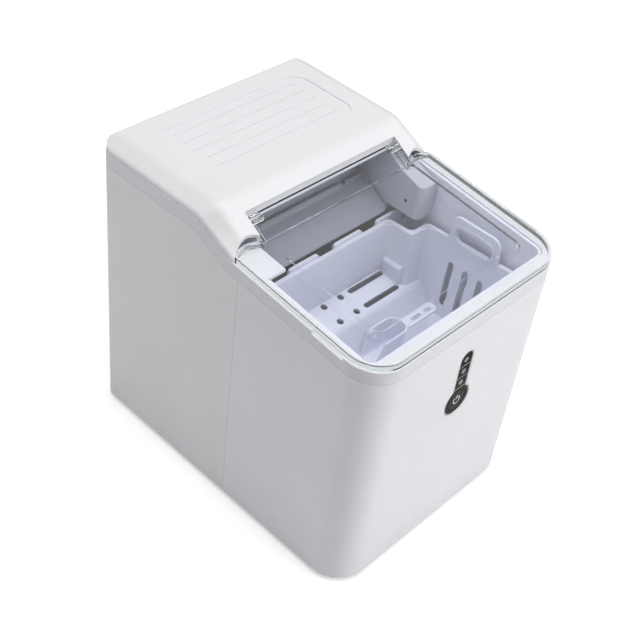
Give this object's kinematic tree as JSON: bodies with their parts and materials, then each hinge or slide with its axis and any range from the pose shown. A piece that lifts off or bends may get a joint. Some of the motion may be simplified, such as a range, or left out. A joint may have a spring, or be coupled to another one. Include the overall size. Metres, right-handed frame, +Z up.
{
  "type": "countertop ice maker",
  "caption": "Countertop ice maker with a clear hinged lid over a lift-out ice basket, a swinging water tray and shovel, and a compressor cooling unit behind.",
  "frame": {"origin": "centre of the body's footprint, on the surface the feet stand on", "axes": "+Z up, -Y towards the control panel and the user, +X to the right of a user who faces the control panel; the drain and the side grille are on that side"},
  "size_m": [0.258, 0.345, 0.325],
  "materials": {
    "white_abs": "gloss white ABS",
    "cover_abs": "gloss white ABS",
    "tub_plastic": "cool white polypropylene",
    "basket_plastic": "translucent cool white polypropylene",
    "clear_lid": "clear moulded polystyrene",
    "grey_plastic": "satin grey plastic",
    "housing_plastic": "satin grey plastic",
    "dark_plastic": "black plastic",
    "panel_dark": "smoked gloss acrylic",
    "trim_plastic": "pale grey trim",
    "button_plastic": "dark gloss key",
    "steel": "zinc plated steel",
    "pin_steel": "bright steel",
    "black_steel": "black enamelled steel",
    "copper": "drawn copper",
    "nickel": "nickel plated copper",
    "aluminium": "thin aluminium",
    "foam": "rigid insulating foam",
    "rubber_black": "black rubber",
    "silicone": "milky silicone",
    "circuit": "green circuit laminate",
    "led": "clear epoxy",
    "galvanised": "galvanised sheet"
  },
  "bodies": {
    "case": {"base_tray": "galvanised", "board_screws": "pin_steel", "capillary": "copper", "compressor": "black_steel", "compressor_grommets": "rubber_black", "condenser_fins": "aluminium", "condenser_tube": "copper", "control_board": "circuit", "cord_gland": "rubber_black", "discharge_line": "copper", "display_board": "circuit", "display_screws": "pin_steel", "evaporator": "nickel", "evaporator_bracket": "grey_plastic", "fan_motor": "steel", "fan_shroud": "galvanised", "filter_drier": "copper", "float_stem": "tub_plastic", "front_shell": "white_abs", "gear_motor": "steel", "hanger_screws": "pin_steel", "hinge_pins": "pin_steel", "ice_sensor": "dark_plastic", "indicator_leds": "led", "inner_tub": "tub_plastic", "left_side_panel": "white_abs", "liquid_line": "copper", "mid_frame": "white_abs", "motor_housing": "housing_plastic", "motor_screws": "pin_steel", "panel_lens": "panel_dark", "panel_trim": "trim_plastic", "pivot_bracket": "grey_plastic", "pump_hose": "silicone", "rear_panel": "white_abs", "rear_screws": "pin_steel", "return_basin": "dark_plastic", "right_side_panel": "white_abs", "rubber_feet": "rubber_black", "suction_line": "copper", "terminal_cover": "dark_plastic", "top_cover": "cover_abs", "tub_insulation": "foam", "water_pump": "dark_plastic"},
    "lid": {"lid": "clear_lid"},
    "water_tray": {"water_tray": "grey_plastic", "tray_spindle": "pin_steel"},
    "ice_shovel": {"ice_shovel": "grey_plastic"},
    "fan": {"fan_blade": "dark_plastic"},
    "power_button": {"power_button": "button_plastic"},
    "ice_basket": {"ice_basket": "basket_plastic"},
    "ice_scoop": {"ice_scoop": "basket_plastic"},
    "float": {"float": "tub_plastic"},
    "drain_cap": {"drain_cap": "white_abs", "drain_seal": "silicone"}
  },
  "joints": [
    {"name": "lid_hinge", "type": "hinge", "parent": "case", "child": "lid", "pos_m": [0, 0.0097, 0.30996], "axis": [-1, 0, 0], "range_deg": [0, 100]},
    {"name": "tray_swing", "type": "hinge", "parent": "case", "child": "water_tray", "pos_m": [0, 0.074, 0.247], "axis": [1, 0, 0], "range_deg": [0, 50]},
    {"name": "shovel_swing", "type": "hinge", "parent": "case", "child": "ice_shovel", "pos_m": [0, 0.045, 0.276], "axis": [-1, 0, 0], "range_deg": [0, 34]},
    {"name": "fan_spin", "type": "hinge", "parent": "case", "child": "fan", "pos_m": [0, 0.092, 0.086], "axis": [1, 0, 0], "continuous": true},
    {"name": "power_press", "type": "slide", "parent": "case", "child": "power_button", "axis": [0, 1, 0], "range_m": [0, 0.0008], "stiffness_N_per_m": 400},
    {"name": "basket_lift", "type": "slide", "parent": "case", "child": "ice_basket", "axis": [0, 0, 1], "range_m": [0, 0.012]},
    {"name": "scoop_lift", "type": "slide", "parent": "ice_basket", "child": "ice_scoop", "axis": [0, 0, 1], "range_m": [0, 0.01]},
    {"name": "float_rise", "type": "slide", "parent": "case", "child": "float", "axis": [0, 0, 1], "range_m": [0, 0.02]},
    {"name": "drain_cap_pull", "type": "slide", "parent": "case", "child": "drain_cap", "axis": [1, 0, 0], "range_m": [0, 0.012]}
  ],
  "couplings": [
    {"joint": "shovel_swing", "follows": "tray_swing", "ratio": 0.68}
  ]
}
